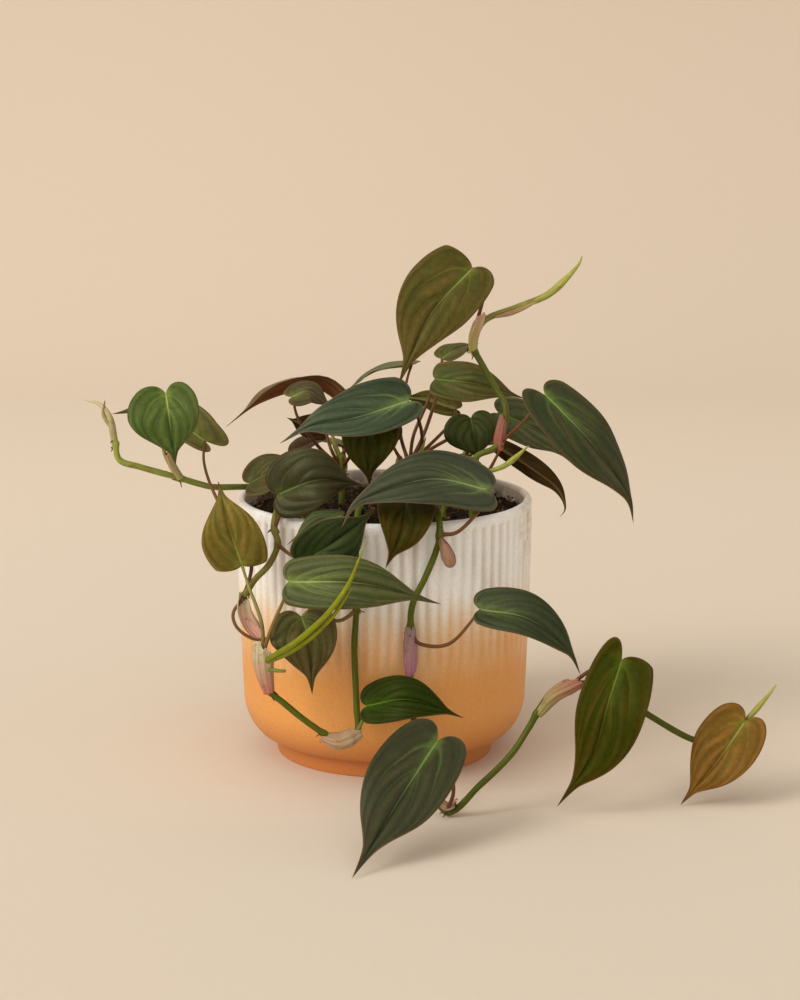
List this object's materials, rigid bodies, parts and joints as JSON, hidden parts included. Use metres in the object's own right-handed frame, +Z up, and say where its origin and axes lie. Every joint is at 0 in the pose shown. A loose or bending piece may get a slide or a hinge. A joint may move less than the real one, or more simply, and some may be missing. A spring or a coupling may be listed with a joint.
{
  "type": "potted micans philodendron",
  "caption": "Trailing velvet-leaf philodendron with heart-shaped leaves on arching vines, growing in a round ribbed pot with a two-tone glaze.",
  "frame": {"origin": "middle of the pot's flat foot, on the surface it stands on", "axes": "+Z up along the pot's axis; -Y is the front, the side the longest vine trails from; +X is to the right, the way that vine runs"},
  "size_m": [0.3343, 0.3226, 0.2615],
  "materials": {
    "pot": "satin",
    "soil": "matte",
    "vine": "satin",
    "leaf_olive": "satin",
    "leaf_dark": "satin",
    "leaf_grey_green": "satin",
    "leaf_green": "satin",
    "leaf_bronze": "satin"
  },
  "bodies": {
    "root": {"pot": "pot", "soil": "soil", "vine_crown": "vine", "vine_front": "vine", "vine_left_front": "vine", "vine_far_left": "vine", "vine_loop": "vine", "vine_right": "vine", "vine_middle": "vine", "vine_back_left": "vine", "vine_back": "vine", "vine_back_right": "vine", "leaf_crown": "leaf_olive", "leaf_left_olive": "leaf_olive", "leaf_behind_crown": "leaf_olive", "leaf_back_turned": "leaf_olive", "leaf_centre_behind": "leaf_olive", "leaf_right_large": "leaf_dark", "leaf_right_flat": "leaf_dark", "leaf_left_dark": "leaf_dark", "leaf_middle_hanging": "leaf_dark", "leaf_front_dark": "leaf_dark", "leaf_centre_hanging": "leaf_dark", "leaf_right_hanging": "leaf_dark", "leaf_small_heart": "leaf_dark", "leaf_inner_heart": "leaf_dark", "leaf_right_behind": "leaf_dark", "leaf_middle_small": "leaf_dark", "leaf_back_upper": "leaf_dark", "leaf_back_middle": "leaf_dark", "leaf_back_lower": "leaf_dark", "leaf_back_left": "leaf_dark", "leaf_back_right": "leaf_dark", "leaf_left_behind": "leaf_dark", "leaf_left_teal": "leaf_grey_green", "leaf_front_grey": "leaf_grey_green", "leaf_centre": "leaf_grey_green", "leaf_right_teal": "leaf_grey_green", "leaf_rim": "leaf_grey_green", "leaf_back_edge": "leaf_grey_green", "leaf_back_small": "leaf_grey_green", "leaf_front_floor": "leaf_grey_green", "leaf_heart": "leaf_green", "leaf_far_left_back": "leaf_green", "leaf_bright": "leaf_green", "leaf_back_floor": "leaf_green", "leaf_right_bronze": "leaf_bronze", "leaf_long_folded": "leaf_bronze", "leaf_right_turned": "leaf_bronze", "leaf_left_turned": "leaf_bronze"}
  },
  "joints": []
}
